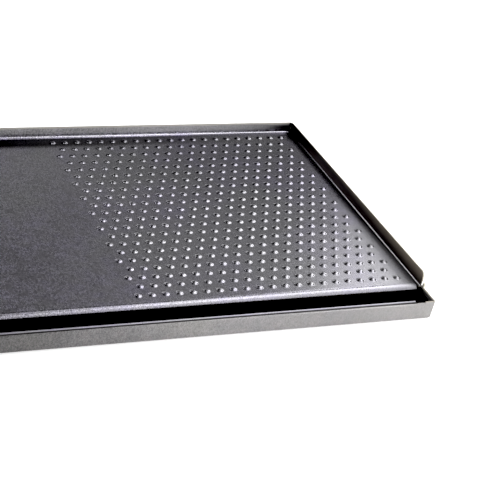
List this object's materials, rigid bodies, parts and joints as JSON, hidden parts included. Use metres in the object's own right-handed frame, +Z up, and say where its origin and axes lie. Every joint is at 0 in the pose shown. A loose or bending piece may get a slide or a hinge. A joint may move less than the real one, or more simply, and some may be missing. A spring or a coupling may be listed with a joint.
{
  "type": "baguette tray",
  "caption": "Low rectangular bakery tray with a lift-out three-sided upper sheet, bumped on one half, over a drip tray.",
  "frame": {"origin": "middle of the drip tray's footprint, on the surface that the tray stands on", "axes": "+Z up, +X to the right along the front edge, +Y from the open front edge to the back upstand"},
  "size_m": [0.6, 0.4, 0.0401],
  "materials": {
    "bumped_tray_coating": "satin",
    "drip_tray_coating": "satin",
    "coated_weld": "satin",
    "weld_metal": "rough"
  },
  "bodies": {
    "drip_tray_body": {"drip_tray": "drip_tray_coating", "drip_tray_front_welds": "weld_metal", "drip_tray_rear_welds": "weld_metal", "rim_beads": "weld_metal"},
    "bumped_tray_body": {"bumped_tray": "bumped_tray_coating", "bumped_tray_welds": "coated_weld", "rear_support_rail": "drip_tray_coating"}
  },
  "joints": [
    {"name": "bumped_tray_lift", "type": "slide", "parent": "drip_tray_body", "child": "bumped_tray_body", "axis": [0, 0, 1], "range_m": [0, 0.06]}
  ]
}
